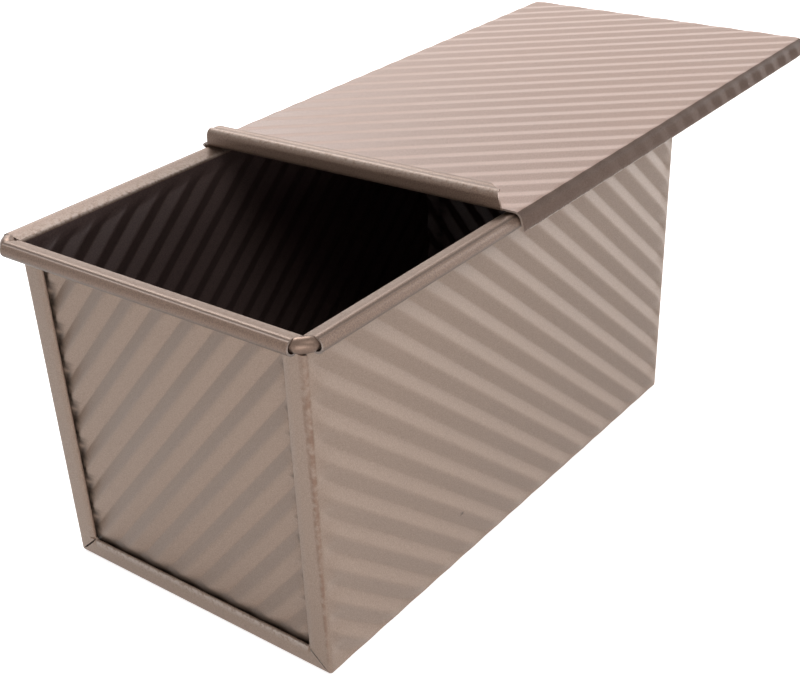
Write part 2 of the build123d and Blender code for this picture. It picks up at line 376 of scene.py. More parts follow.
class Sheet:
    """A sheet of metal gathered from grids of points that share their edges."""

    def __init__(self):
        self.points = []
        self.faces = []
        self.finishes = []
        self.painted_light = []

    def grid(self, points, finish, painted_light=0.0):
        """Adds a grid of points, rows by columns, whose faces take one finish or one for each row.

        The last argument paints light on the coat, up to 1 for a painted highlight, or paints shade, down to
        -1, for the grid or its points.
        """
        rows, columns = points.shape[:2]
        first = sum(len(p) for p in self.points)
        self.points.append(points.reshape(-1, 3))
        self.painted_light.append(np.broadcast_to(painted_light, points.shape[:2]).ravel())
        widths = np.linalg.norm(np.diff(points, axis=1), axis=2)
        for j, row_finish in enumerate(np.broadcast_to(finish, rows - 1)):
            for i in np.nonzero(widths[j] + widths[j + 1] > NO_WIDTH)[0]:
                a = first + j * columns + i
                self.faces.append((a, a + 1, a + columns + 1, a + columns))
                self.finishes.append(int(row_finish))

    def flat_mesh(self, name, up_at, up):
        """The sheet's good side as one welded mesh, facing up at a point on it."""
        mesh = bpy.data.meshes.new(name)
        mesh.from_pydata(np.concatenate(self.points) * MM, [], self.faces)
        mesh.polygons.foreach_set("material_index", [3 * finish for finish in self.finishes])
        painted_light_tone = mesh.attributes.new("painted_light", "FLOAT", "POINT")
        painted_light_tone.data.foreach_set("value", np.concatenate(self.painted_light).astype(np.float32))
        work = bmesh.new()
        work.from_mesh(mesh)
        bmesh.ops.remove_doubles(work, verts=work.verts, dist=WELD * MM)
        bmesh.ops.dissolve_degenerate(work, edges=work.edges, dist=WELD * MM)
        bmesh.ops.recalc_face_normals(work, faces=work.faces)
        place = Vector(up_at) * MM
        nearest = min(work.faces, key=lambda face: (face.calc_center_median() - place).length)
        if nearest.normal.dot(Vector(up)) < 0:
            bmesh.ops.reverse_faces(work, faces=work.faces)
        work.to_mesh(mesh)
        work.free()
        return mesh

    def build(self, name, materials, up_at, up):
        """Makes the object: one welded sheet, thickened away from its good side.

        Each finish is three materials: the good side's, the other side's and the cut edge's. up_at is a
        point on the sheet, and up the direction that its good side faces there.
        """
        raw = add_object(name + "_raw", self.flat_mesh(name, up_at, up))
        for material in materials:
            raw.data.materials.append(material)
        solid = raw.modifiers.new("thickness", "SOLIDIFY")
        solid.thickness = SHEET * MM
        solid.offset = -1
        solid.use_even_offset = False
        solid.use_quality_normals = True
        solid.material_offset = 1
        solid.material_offset_rim = 2
        done = bpy.data.meshes.new_from_object(raw.evaluated_get(bpy.context.evaluated_depsgraph_get()))
        bpy.data.objects.remove(raw)
        done.name = name
        done.polygons.foreach_set("use_smooth", [True] * len(done.polygons))
        done.set_sharp_from_angle(angle=math.radians(SHARP_ANGLE))
        return add_object(name, done)


def roll_path(half_span):
    """The good side of a rolled rim seen end on, from just below its inner edge to the end of the roll."""
    centre = np.array([half_span + WIRE_REACH, PAN_HEIGHT - WIRE_DROP])
    ramp = math.asin(ROLL_RADIUS / math.hypot(WIRE_REACH, WIRE_DROP)) - math.atan2(WIRE_DROP, WIRE_REACH)
    top = centre + ROLL_RADIUS * np.array([-math.sin(ramp), math.cos(ramp)])
    edge = rounded([(half_span, RIM_START), (half_span, PAN_HEIGHT), top], [RIM_EDGE_RADIUS])
    edge = np.insert(edge, 1, (half_span, PAN_HEIGHT - RIM_EDGE_RADIUS - RIM_EDGE_MARGIN), axis=0)
    first = 90 + math.degrees(ramp)
    turns = np.linspace(first, first - ROLL_WRAP, ROLL_POINTS)
    groove_turn = math.degrees(GROOVE_WIDTH / ROLL_RADIUS)
    near_groove = GROOVE_ANGLE + np.linspace(-1, 1, GROOVE_POINTS) * groove_turn
    turns = np.array(sorted(set(turns) | set(near_groove), reverse=True))
    across = np.radians(turns - GROOVE_ANGLE) * ROLL_RADIUS / GROOVE_WIDTH
    radius = ROLL_RADIUS - GROOVE_DEPTH * peak(across * GROOVE_SHARPNESS)
    bead = centre + radius[:, None] * np.stack([np.cos(np.radians(turns)), np.sin(np.radians(turns))], 1)
    return np.concatenate([edge[:-1], bead])


def roll_overhang(rolled):
    """How much further round the corner a roll reaches, at a distance along it from its start."""
    return ROLL_OVERHANG * smooth(rolled / ROLL_OVERHANG_RUN)


def rim_painted_light(outward, z):
    """Painted highlight along a rim's inner edge, and painted shade in its groove and underneath the roll."""
    edge = peak((outward - EDGE_HIGHLIGHT_AT) / EDGE_HIGHLIGHT_WIDTH) * (z > PAN_HEIGHT - RIM_EDGE_RADIUS)
    turn = np.degrees(np.arctan2(z - PAN_HEIGHT + WIRE_DROP, outward - WIRE_REACH))
    on_bead = np.hypot(outward - WIRE_REACH, z - PAN_HEIGHT + WIRE_DROP) < ROLL_RADIUS + ROLL_MARGIN
    groove = GROOVE_SHADE * peak((turn - GROOVE_ANGLE) / GROOVE_SHADE_WIDTH)
    under = UNDER_SHADE * smooth((UNDER_SHADE_START - turn) / UNDER_SHADE_RUN)
    return edge - np.maximum(groove, under) * on_bead


def fold_arc(radius):
    """Points of a quarter turn seen end on, from (0, 0) to (radius, radius)."""
    turns = np.radians(np.linspace(0, 90, ARC_SEGMENTS + 1))
    return np.stack([radius * np.sin(turns), radius * (1 - np.cos(turns))], 1)


def frame_row(start, side, wide, hemmed):
    """One row of a frame strip in plan: round the fold, along the strip, round its hem and back.

    start is where the fold begins along the pan, side the wall's inner face, and wide the strip's width
    from the wall's outer face. Where the mitre cuts the strip there is no hem.
    """
    arc = fold_arc(FOLD_BEND)
    bend = np.stack([start + arc[:, 0], side - arc[:, 1]], 1)
    face = start + FOLD_BEND
    edge = min(side + SHEET - wide, bend[-1, 1])
    turns = np.radians(np.linspace(0, 180, HEM_SEGMENTS + 1))
    if hemmed:
        turn_at = edge + SHEET + HEM_GAP
        curl = np.stack([face - HEM_GAP + HEM_GAP * np.cos(turns), turn_at - HEM_GAP * np.sin(turns)], 1)
        back = np.array([[face - 2 * HEM_GAP, turn_at + HEM_BACK]])
    else:
        turn_at = edge
        curl = np.array([[face, edge]] * len(turns))
        back = curl[:1]
    run = np.linspace(bend[-1, 1], turn_at, STRIP_POINTS + 2)[1:-1]
    flat = np.stack([np.full_like(run, face), run], 1)
    return np.concatenate([bend, flat, curl, back])


def body_section():
    """The body sheet's inner face seen end on, from the rolled rim at -Y down and up to the one at +Y.

    v is the height on the wall at -Y, carried on below zero over the bottom and up the other wall, and
    ends how far each point's row reaches along the pan. The wall's fold runs from fold_start to fold_end.
    """
    wall = rounded([
        (0, SHEET),
        (WALL_INNER + lean(SHEET), SHEET),
        (RIM_HALF_WIDTH - lean(PAN_HEIGHT - RIM_START), RIM_START),
    ], [FOLD_BEND])
    half = subdivided(wall, ROW_STEP, (
        (1, STRIP_TOP), (1, SIDE_MITRE_TOP), (1, SIDE_MITRE_TOP - MITRE_STEP),
        (0, BASE_MITRE_END), (0, BASE_MITRE_END + MITRE_STEP),
    ))
    wall_rows = len(half)
    full = mirrored(np.concatenate([half, roll_path(RIM_HALF_WIDTH)[1:]]))
    middle = len(full) // 2
    y, z = full[:, 0], full[:, 1]
    along = run_lengths(full)
    rim_edge = int(np.argmin(np.abs(z[:middle] - PAN_HEIGHT) + np.abs(y[:middle] + RIM_HALF_WIDTH)))
    in_roll = np.abs(np.arange(len(full)) - middle) >= wall_rows
    rolled = np.abs(along - along[middle]) - (along[middle + wall_rows] - along[middle])
    roll_end = RIM_HALF_LENGTH - SEAM_GAP + roll_overhang(rolled)
    ends = np.where(in_roll, roll_end, BASE_LENGTH / 2 + lean(z) - FOLD_RADIUS)
    above_strips = ~in_roll & (z > STRIP_TOP + CLOSE)
    ends = np.where(above_strips, BASE_LENGTH / 2 + lean(z) - SHEET, ends)
    return SimpleNamespace(
        y=y, z=z, v=PAN_HEIGHT - (along - along[rim_edge]), normals=section_normals(full),
        in_roll=in_roll, ends=ends, fold_start=wall[1], fold_end=wall[1 + CORNER_SEGMENTS],
    )


def add_body_plate(sheet, section):
    """The ribbed walls and bottom and the rolled rims, one row for each point of the section."""
    y, z, in_roll, ends = section.y, section.z, section.in_roll, section.ends[:, None]
    low_v, high_v = section.v[~in_roll].min(), section.v[~in_roll].max()
    held = np.clip(section.v, low_v, high_v)[:, None]
    c, s = rib_direction(SIDE_RIBS)
    reach = BASE_LENGTH / 2 * s
    columns = rib_columns(SIDE_RIBS, c * low_v - reach, c * high_v + reach)
    x = cut_between((columns[None, :] - c * held) / s, -ends, ends)

    # The ribs fade towards the folds and stop below the rim, and on the bottom they only press inward
    fade = smooth((ends - np.abs(x)) / WALL_END_FADE)
    fade = fade * smooth((PAN_HEIGHT - RIM_BORDER - z) / RIM_BORDER)[:, None]
    from_fold = np.hypot(np.abs(y) - WALL_INNER, z - SHEET)
    fade = fade * (1 - FOLD_PRESS * peak(from_fold / FOLD_PRESS_WIDTH))[:, None]
    fade[in_roll] = 0
    low = smooth((BASE_RIB_HEIGHT - z) / BASE_RIB_HEIGHT)[:, None]
    depth = RIB_DEPTH + (BASE_RIB_DEPTH - RIB_DEPTH) * low
    across = s * x + c * held
    lift = depth / 2 * (rib_wave(across, SIDE_RIBS) - low) * fade

    finish = np.where(in_roll[:-1] & in_roll[1:], RIM, PLAIN)
    # Painted highlight along the rim's inner edge, and painted shade in its groove and under the roll
    painted_light_marks = rim_painted_light(np.abs(y) - RIM_HALF_WIDTH, z)[:, None]
    # Painted shade on the rib faces turned away from the light
    tone = SIDE_FACE_SHADE * (1 - rib_faces(across, SIDE_RIBS, 1)) / 2 * fade
    sheet.grid(lifted(x, section, -lift), finish, painted_light_marks - tone)


def add_side_strips(sheet, section, frame_rows):
    """The four frame strips folded round from the walls, and the ball corner at the foot of each."""
    y, z, ends = section.y, section.z, section.ends
    fold_y, fold_top = section.fold_start[0], section.fold_end[1]
    arc = fold_arc(FOLD_BEND)
    shrink = 1 - arc[:, 1] / FOLD_BEND
    centre = np.array([fold_y, SHEET + FOLD_BEND])
    for side in (-1, 1):
        rows = [j for j in frame_rows if y[j] * side > 0 and z[j] >= fold_top - CLOSE]
        wide = np.minimum(STRIP_WIDTH, z[rows] * STRIP_WIDTH / STRIP_HEIGHT - MITRE_GAP)
        made = np.array([
            frame_row(ends[j], abs(y[j]), w, z[j] >= SIDE_MITRE_TOP - MITRE_STEP / 2)
            for j, w in zip(rows, wide)
        ])
        ball_rows = [j for j in frame_rows if y[j] * side >= fold_y - CLOSE and z[j] <= fold_top + CLOSE]
        outward = np.stack([np.abs(y[ball_rows]), z[ball_rows]], 1) - centre
        for end in (-1, 1):
            grid = np.zeros((*made.shape[:2], 3))
            grid[..., 0] = made[..., 0] * end
            grid[..., 1] = made[..., 1] * side
            grid[..., 2] = z[rows][:, None]
            sheet.grid(grid, PLAIN)
            ball = np.zeros((len(ball_rows), len(arc), 3))
            ball[..., 0] = (ends[ball_rows][:, None] + arc[:, 0]) * end
            ball[..., 1] = (centre[0] + outward[:, 0][:, None] * shrink) * side
            ball[..., 2] = centre[1] + outward[:, 1][:, None] * shrink
            sheet.grid(ball, PLAIN)


def add_bottom_strips(sheet, section, frame_rows):
    """The two frame strips folded up from the bottom, each with a painted highlight along the front of its
    hem.
    """
    y, z, ends = section.y, section.z, section.ends
    rows = [j for j in frame_rows if abs(y[j]) <= section.fold_start[0] + CLOSE and z[j] < SHEET + CLOSE]
    mitred = (BASE_WIDTH / 2 - np.abs(y[rows])) * STRIP_HEIGHT / STRIP_WIDTH - MITRE_GAP
    wide = np.minimum(STRIP_HEIGHT, mitred)
    made = np.array([
        frame_row(ends[j], -SHEET, w, abs(y[j]) <= BASE_MITRE_END + MITRE_STEP / 2)
        for j, w in zip(rows, wide)
    ])
    hem_start = ARC_SEGMENTS + 1 + STRIP_POINTS
    hem_highlight = np.zeros(made.shape[1])
    hem_highlight[hem_start:hem_start + HEM_SEGMENTS // 2] = HEM_HIGHLIGHT
    rise = -made[..., 1]
    for end in (-1, 1):
        grid = np.zeros((*made.shape[:2], 3))
        grid[..., 0] = (made[..., 0] + lean(rise - SHEET)) * end
        grid[..., 1] = y[rows][:, None]
        grid[..., 2] = rise
        sheet.grid(grid, PLAIN, hem_highlight[None, :])


def make_body_sheet(materials):
    """The U-shaped sheet: both long walls, the bottom, the folded end frames and the rolled long rims."""
    section = body_section()
    in_frame = ~section.in_roll & (section.z <= STRIP_TOP + CLOSE)
    frame_rows = list(np.nonzero(in_frame)[0])
    sheet = Sheet()
    add_body_plate(sheet, section)
    add_side_strips(sheet, section, frame_rows)
    add_bottom_strips(sheet, section, frame_rows)
    return sheet.build("body_sheet", materials, (0, 0, SHEET), (0, 0, 1))


def end_section():
    """An end sheet's inner face seen from the side, from its foot up to the end of its roll.

    out and z are its points, and ends half the sheet's width at each.
    """
    half = BASE_LENGTH / 2
    inset = PANEL_INSET + SHEET
    foot = SHEET + PANEL_FOOT_GAP
    joggle = STRIP_TOP + JOGGLE_RISE
    corners = [
        (half + lean(foot) - inset, foot),
        (half + lean(joggle) - inset, joggle),
        (half + lean(joggle + PANEL_INSET) - SHEET, joggle + PANEL_INSET),
        (RIM_HALF_LENGTH - lean(PAN_HEIGHT - RIM_START), RIM_START),
    ]
    wall = subdivided(rounded(corners, [JOGGLE_RADIUS] * 2, JOGGLE_SEGMENTS), ROW_STEP)
    path = np.concatenate([wall, roll_path(RIM_HALF_LENGTH)[1:]])
    out, z = path[:, 0], path[:, 1]
    in_roll = np.arange(len(path)) >= len(wall)
    along = run_lengths(path)
    low_half = BASE_WIDTH / 2 + lean(z) - FOLD_RADIUS - SEAM_GAP
    high_half = BASE_WIDTH / 2 + lean(PAN_HEIGHT) - SHEET - SEAM_GAP
    widening = low_half + (high_half - low_half) * smooth((z - STRIP_TOP) / PANEL_INSET)
    ends = np.where(in_roll, high_half + roll_overhang(along - along[len(wall)]), widening)
    return SimpleNamespace(out=out, z=z, in_roll=in_roll, ends=ends)


def panel_shade(y, z, aside, in_roll):
    """Painted shadow where the panel goes behind its frame, widest at the left seen from outside, and painted
    shade at its joggle.
    """
    beside = aside / np.where(y > 0, PANEL_SHADE_LEFT, PANEL_SHADE_RIGHT)
    above = (z - STRIP_HEIGHT) / PANEL_SHADE_LOW
    behind = np.maximum(peak(beside), peak(above)) * (z < STRIP_TOP)
    return np.maximum(behind, peak((z - STRIP_TOP) / JOGGLE_SHADE) * ~in_roll)


def make_end_sheet(name, materials, end):
    """A short end's ribbed panel, behind the frame, and the rim rolled above it."""
    section = end_section()
    out, z, in_roll, ends = (a[:, None] for a in (section.out, section.z, section.in_roll, section.ends))
    c, s = rib_direction(END_RIBS)
    columns = rib_columns(END_RIBS, -s * BASE_WIDTH / 2, s * BASE_WIDTH / 2 + c * PAN_HEIGHT)
    held = np.where(in_roll, RIM_START, np.minimum(z, RIM_START))
    y = cut_between((columns[None, :] - c * held) / s, -ends, ends)

    # The ribs are pressed flat along the frame's inner edges, and stop at the joggle
    aside = BASE_WIDTH / 2 + lean(z) - STRIP_WIDTH - np.abs(y)
    above = (z - STRIP_HEIGHT - PANEL_PRESS_ABOVE) / PANEL_PRESS_ABOVE_WIDTH
    pressed = np.maximum(peak(aside / PANEL_PRESS_BESIDE), peak(above))
    fade = smooth((STRIP_TOP - z) / PANEL_TOP_FADE) * (1 - pressed) * ~in_roll
    across = s * y + c * held
    lift = END_RIB_DEPTH / 2 * rib_wave(across, END_RIBS) * fade
    points = np.stack([-(out + lift), y, z * np.ones_like(y)], -1)
    points[..., :2] *= -end

    finish = np.where(section.in_roll[:-1] & section.in_roll[1:], RIM, PLAIN)
    # Painted shade on the rib faces turned away from the light
    tone = END_FACE_SHADE * (1 - rib_faces(across, END_RIBS, -1)) / 2 * fade
    # Painted shadow where the panel goes behind its frame and at its joggle
    painted_shade = np.maximum(panel_shade(y, z, aside, in_roll), tone)
    sheet = Sheet()
    # The rim's painted highlight and painted shade, with the panel's painted shade taken off
    sheet.grid(points, finish, rim_painted_light(out - RIM_HALF_LENGTH, z) - painted_shade)
    inner_face = BASE_LENGTH / 2 - PANEL_INSET - SHEET
    return sheet.build(name, materials, (end * inner_face, 0, PAN_HEIGHT / 2), (-end, 0, 0))


def wire_path(length, width):
    """The ring's middle line, counter-clockwise, for its half length and half width."""
    path = []
    for quarter, (x_side, y_side) in enumerate(((1, 1), (-1, 1), (-1, -1), (1, -1))):
        centre = np.array([x_side * (length - WIRE_BEND), y_side * (width - WIRE_BEND)])
        for turn in np.radians(np.linspace(0, 90, WIRE_BEND_POINTS)) + math.pi / 2 * quarter:
            path.append(centre + WIRE_BEND * np.array([math.cos(turn), math.sin(turn)]))
    return subdivided(np.array(path + path[:1]), WIRE_STEP)[:-1]


def make_rim_wire(material):
    """The closed ring of wire inside the rolled rims, higher and thicker where it turns each corner."""
    length, width = RIM_HALF_LENGTH + WIRE_REACH, RIM_HALF_WIDTH + WIRE_REACH
    path = wire_path(length, width)
    away = np.linalg.norm(np.abs(path) - [length - WIRE_ELBOW_INSET, width - WIRE_ELBOW_INSET], axis=1)
    height = PAN_HEIGHT - WIRE_DROP + WIRE_RISE * smooth((WIRE_RISE_REACH - away) / WIRE_RISE_RUN)
    radius = WIRE_RADIUS + WIRE_SWELL * smooth((WIRE_SWELL_REACH - away) / WIRE_SWELL_RUN)
    forward = np.roll(path, -1, 0) - np.roll(path, 1, 0)
    forward /= np.linalg.norm(forward, axis=1)[:, None]
    outward = np.stack([forward[:, 1], -forward[:, 0]], 1)
    around = np.radians(np.arange(WIRE_SIDES) * 360 / WIRE_SIDES)
    rings = []
    for point, side, level, thick in zip(path, outward, height, radius):
        flat = point[None, :] + side[None, :] * (thick * np.cos(around))[:, None]
        rings.append(np.column_stack([flat, level + thick * np.sin(around)]))
    count, sides = len(rings), WIRE_SIDES
    faces = []
    for i in range(count):
        for j in range(sides):
            ahead, beside = (i + 1) % count * sides, (j + 1) % sides
            faces.append((i * sides + j, i * sides + beside, ahead + beside, ahead + j))
    mesh = bpy.data.meshes.new("wire_ring")
    mesh.from_pydata(np.concatenate(rings) * MM, [], faces)
    mesh.polygons.foreach_set("use_smooth", [True] * len(mesh.polygons))
    mesh.materials.append(material)
    return add_object("wire_ring", mesh)


def lid_section():
    """The lid's outer face seen end on, from the hook at -Y up, over the plate and down to the one at +Y.

    v is the distance along it from the middle, and near and far the ends of each point's row. skew is how
    far the near edge has swung towards -X.
    """
    half = rounded(
        [(0, LID_TOP), (LID_SIDE, LID_TOP), (LID_SIDE, LID_BOTTOM), (LID_SIDE - LID_HOOK_WIDTH, LID_BOTTOM)],
        [LID_FOLD_RADIUS, LID_HOOK_RADIUS], LID_SEGMENTS,
    )
    full = mirrored(subdivided(half, ROW_STEP, ((0, -CURL_LOW), (0, CURL_HIGH))))
    y, z = full[:, 0], full[:, 1]
    along = run_lengths(full)
    slant_height = LID_TOP - LID_BOTTOM - LID_WEB_SLANT_START
    down = smooth((LID_TOP - LID_WEB_SLANT_START - z) / slant_height)
    hooked = (z < LID_BOTTOM + LID_HOOK_RADIUS) & (np.abs(y) < LID_SIDE - LID_HOOK_START)
    setback = np.where(hooked, LID_HOOK_SETBACK, 0)
    skew = LID_NEAR_SKEW * np.clip((y - CURL_LOW) / (CURL_HIGH - CURL_LOW), 0, 1)
    near = LID_NEAR + CURL_FOOT_RADIUS - skew * (1 - down) + LID_WEB_SLANT * down + setback
    return SimpleNamespace(
        y=y, z=z, v=along - along[len(full) // 2], normals=section_normals(full),
        near=near, far=LID_FAR - setback, skew=skew,
    )


def add_lid_plate(sheet, section):
    """The ribbed plate with its folded sides and hooks, one row for each point of the section."""
    y, z, v = section.y, section.z, section.v[:, None]
    near, far = section.near[:, None], section.far[:, None]
    c, s = rib_direction(LID_RIBS)
    columns = rib_columns(LID_RIBS, s * LID_NEAR + c * v.min(), s * LID_FAR + c * v.max())
    x = cut_between((columns[None, :] - c * v) / s, near, far)

    # The ribs fade at the folds and the ends. On the sides they deepen towards the far end, and stand
    # outward, clear of the rims
    on_web = smooth((LID_TOP - z) / LID_FOLD_RADIUS)[:, None]
    from_fold = np.hypot(np.abs(y) - LID_SIDE, z - LID_TOP) - LID_FOLD_RADIUS * (math.sqrt(2) - 1)
    deepen = WEB_RIBS_LEAST + (1 - WEB_RIBS_LEAST) * smooth((x - LID_NEAR - WEB_RIBS_START) / WEB_RIBS_RUN)
    fade = smooth((x - near) / LID_NEAR_FADE)
    fade = fade * (LID_FAR_FADED + (1 - LID_FAR_FADED) * smooth((far - x) / LID_FAR_FADE))
    fade = fade * (1 - FOLD_PRESS * peak(from_fold / LID_FOLD_PRESS_WIDTH))[:, None]
    fade = fade * smooth((z - LID_BOTTOM - LID_HOOK_MARGIN) / LID_HOOK_FADE)[:, None]
    depth = LID_RIB_DEPTH + (LID_WEB_RIB_DEPTH * deepen - LID_RIB_DEPTH) * on_web
    across = s * x + c * v
    lift = depth / 2 * (rib_wave(across, LID_RIBS) + LID_WEB_RIB_SHIFT * on_web) * fade

    # Painted highlights along the hooks' folds, painted light strips on the sides, and painted shade on the
    # plate's rib faces near the curl
    hook_highlight = peak((z - LID_BOTTOM - LID_HOOK_MARGIN) / HOOK_HIGHLIGHT_WIDTH)
    hook_highlight = hook_highlight * (np.abs(y) > LID_SIDE - LID_HOOK_RADIUS)
    web = (z < LID_TOP - LID_WEB_START) & (z > LID_BOTTOM + LID_HOOK_MARGIN)
    lit = rib_faces(across, LID_RIBS, 1)
    strips = WEB_STRIP_LIGHT * smooth((lit - WEB_STRIP_START) / WEB_STRIP_RUN) * deepen * web[:, None]
    near_curl = 1 - smooth((x - LID_NEAR) / LID_FACE_SHADE_RUN)
    shaded = 1 - smooth((lit - LID_FACE_START) / LID_FACE_RUN)
    tone = LID_FACE_SHADE * shaded * near_curl * (1 - on_web)
    # The sides below the fold take a darker copy of the coat, painted shade
    finish = np.where(web[:-1] & web[1:], SHADED_WEB, PLAIN)
    sheet.grid(lifted(x, section, lift), finish, hook_highlight[:, None] + strips - tone)


def curl_path():
    """The curl's inner face seen from the side: up, over a rounded top with a shallow groove, and down."""
    front = LID_NEAR + SHEET
    top = LID_TOP - SHEET + CURL_HEIGHT - SHEET
    back = LID_NEAR + CURL_DEPTH - SHEET
    # The foot's rounding is a little under its full radius, so that the run before it keeps a length
    foot_radius = (CURL_FOOT_RADIUS - SHEET) * CURL_FOOT_SHARE
    path = rounded([
        (LID_NEAR + CURL_FOOT_RADIUS, LID_TOP), (front, LID_TOP), (front, top), (back, top),
        (back, LID_TOP + SHEET + CURL_BACK_GAP),
    ], [foot_radius, CURL_TOP_RADIUS - SHEET, CURL_BACK_RADIUS], CURL_SEGMENTS)
    path = subdivided(path, CURL_STEP)
    groove = peak((path[:, 0] - LID_NEAR - CURL_GROOVE) / CURL_GROOVE_WIDTH)
    path[:, 1] -= CURL_GROOVE_DEPTH * groove * (path[:, 1] > top - CURL_GROOVE_BAND)
    return path, front, top, back


def add_curl(sheet, section):
    """The curl along the lid's near edge, trimmed back at its ends as it rises and again behind."""
    y, z = section.y, section.z
    on_plate = (y >= CURL_LOW - CLOSE) & (y <= CURL_HIGH + CLOSE) & (z > LID_TOP - CLOSE)
    rows = np.nonzero(on_plate)[0]
    path, front, top, back = curl_path()
    out, up = path[:, 0], path[:, 1]
    upward = np.clip((up - LID_TOP) / CURL_HEIGHT, 0, 1) ** 2
    behind = np.clip((run_lengths(path) - CURL_HEIGHT) / CURL_RETURN, 0, 1)
    low = CURL_LOW + np.maximum.accumulate(CURL_LOW_TRIM * upward) + CURL_LOW_RETURN_TRIM * behind
    high = CURL_HIGH - np.maximum.accumulate(CURL_HIGH_TRIM * upward) - CURL_HIGH_RETURN_TRIM * behind
    share = (y[rows] - CURL_LOW) / (CURL_HIGH - CURL_LOW)
    grid = np.zeros((len(rows), len(path), 3))
    grid[..., 0] = out[None, :] - section.skew[rows][:, None]
    grid[..., 1] = low[None, :] + (high - low)[None, :] * share[:, None]
    grid[..., 2] = up[None, :]

    # A painted highlight along its front top edge, and painted shade low on its front and in the groove
    from_edge = (out - front - CURL_HIGHLIGHT_BACK) ** 2 + (up - top + CURL_HIGHLIGHT_DROP) ** 2
    painted_light_marks = CURL_HIGHLIGHT * np.exp(-from_edge / CURL_HIGHLIGHT_SPREAD)
    front_shade = CURL_FRONT_SHADE * smooth((LID_TOP + CURL_FRONT_SHADE_TOP - up) / CURL_FRONT_SHADE_RUN)
    front_shade = front_shade * (out < back - CURL_FRONT_SHADE_BACK)
    in_groove_shade = peak((out - LID_NEAR - CURL_GROOVE) / CURL_GROOVE_SHADE_WIDTH)
    in_groove_shade = in_groove_shade * (up > top - CURL_GROOVE_SHADE_BAND)
    sheet.grid(grid, RIM, (painted_light_marks - front_shade - CURL_GROOVE_SHADE * in_groove_shade)[None, :])


def make_lid_sheet(materials):
    """The lid: ribbed plate, folded sides with their hooks, and the curl along its near edge."""
    section = lid_section()
    sheet = Sheet()
    add_lid_plate(sheet, section)
    add_curl(sheet, section)
    return sheet.build("lid_sheet", materials, ((LID_NEAR + LID_FAR) / 2, 0, LID_TOP), (0, 0, 1))


def srgb(r, g, b):
    """Linear colour, with full alpha, of an sRGB colour given from 0 to 255."""
    return (*(((c / 255 + 0.055) / 1.055) ** 2.4 for c in (r, g, b)), 1)


def principled(name):
    """A new material and its node tree and principled shader."""
    material = bpy.data.materials.new(name)
    material.use_nodes = True
    return material, material.node_tree, material.node_tree.nodes["Principled BSDF"]


def add_node(tree, kind, inputs, **settings):
    """A new node with its settings, and its inputs set to values or linked to other nodes' outputs."""
    node = tree.nodes.new(kind)
    for name, value in settings.items():
        setattr(node, name, value)
    for name, value in inputs.items():
        if isinstance(value, bpy.types.NodeSocket):
            tree.links.new(value, node.inputs[name])
        else:
            node.inputs[name].default_value = value
    return node


def noise(tree, place, scale, detail, roughness):
    """Noise from 0 to 1 at a place in metres, finer for a larger scale."""
    inputs = {"Vector": place, "Scale": scale, "Detail": detail, "Roughness": roughness}
    return add_node(tree, "ShaderNodeTexNoise", inputs).outputs["Fac"]


def map_range(tree, value, low, high, to_low=0.0, to_high=1.0, kind="LINEAR"):
    """A value carried from one range to another and held at its ends."""
    inputs = {"Value": value, "From Min": low, "From Max": high, "To Min": to_low, "To Max": to_high}
    return add_node(tree, "ShaderNodeMapRange", inputs, interpolation_type=kind).outputs["Result"]


def maths(tree, operation, *values, clamp=False):
    """The result of an operation on one or more values."""
    inputs = dict(enumerate(values))
    return add_node(tree, "ShaderNodeMath", inputs, operation=operation, use_clamp=clamp).outputs["Value"]


def mixed(tree, share, first, second):
    """The colour at a share of the way from the first to the second."""
    inputs = {"A": first, "B": second, "Factor": share}
    return add_node(tree, "ShaderNodeMix", inputs, data_type="RGBA").outputs["Result"]


def coated(name, colour, dark, metallic, roughness, grain=0.35, bump=0.12, specular=0.5, painted_light_tone=PAINTED_HIGHLIGHT):
    """Satin sprayed coat: fine metallic speckle, cloudy tone, faint orange peel and uneven gloss.

    Above 0 the mesh's attribute lays a painted highlight on the coat in patches, and below 0 painted shade
    darkens it.
    """
    material, tree, shader = principled(name)
    place = add_node(tree, "ShaderNodeTexCoord", {}).outputs["Object"]
    speckle = noise(tree, place, SPECKLE_SCALE, 2, 0.7)
    cloud = noise(tree, place, CLOUD_SCALE, 3, 0.6)
    grains = map_range(tree, speckle, *SPECKLE_RANGE, 0.5 - grain, 0.5 + grain)
    tone = maths(tree, "MULTIPLY_ADD", cloud, CLOUD_SHARE, grains)
    coat = mixed(tree, tone, dark, colour)

    painted_light = add_node(tree, "ShaderNodeAttribute", {}, attribute_name="painted_light").outputs["Fac"]
    painted_shade = tuple(c * PAINTED_SHADE_SHARE for c in dark[:3])
    shaded_coat = mixed(tree, map_range(tree, painted_light, 0.0, -1.0), coat, (*painted_shade, 1))
    patches = map_range(tree, noise(tree, place, PATCH_SCALE, 3, 0.6), *PATCH_RANGE)
    painted_light_marks = maths(tree, "MULTIPLY", painted_light, patches, clamp=True)
    tree.links.new(mixed(tree, painted_light_marks, shaded_coat, painted_light_tone), shader.inputs["Base Color"])

    gloss = map_range(tree, cloud, 0.0, 1.0, roughness - GLOSS_SPREAD, roughness + GLOSS_SPREAD)
    tree.links.new(gloss, shader.inputs["Roughness"])
    peel = add_node(tree, "ShaderNodeBump", {"Strength": bump, "Distance": PEEL_DEPTH, "Height": speckle})
    tree.links.new(peel.outputs["Normal"], shader.inputs["Normal"])
    shader.inputs["Metallic"].default_value = metallic
    shader.inputs["Specular IOR Level"].default_value = specular
    return material


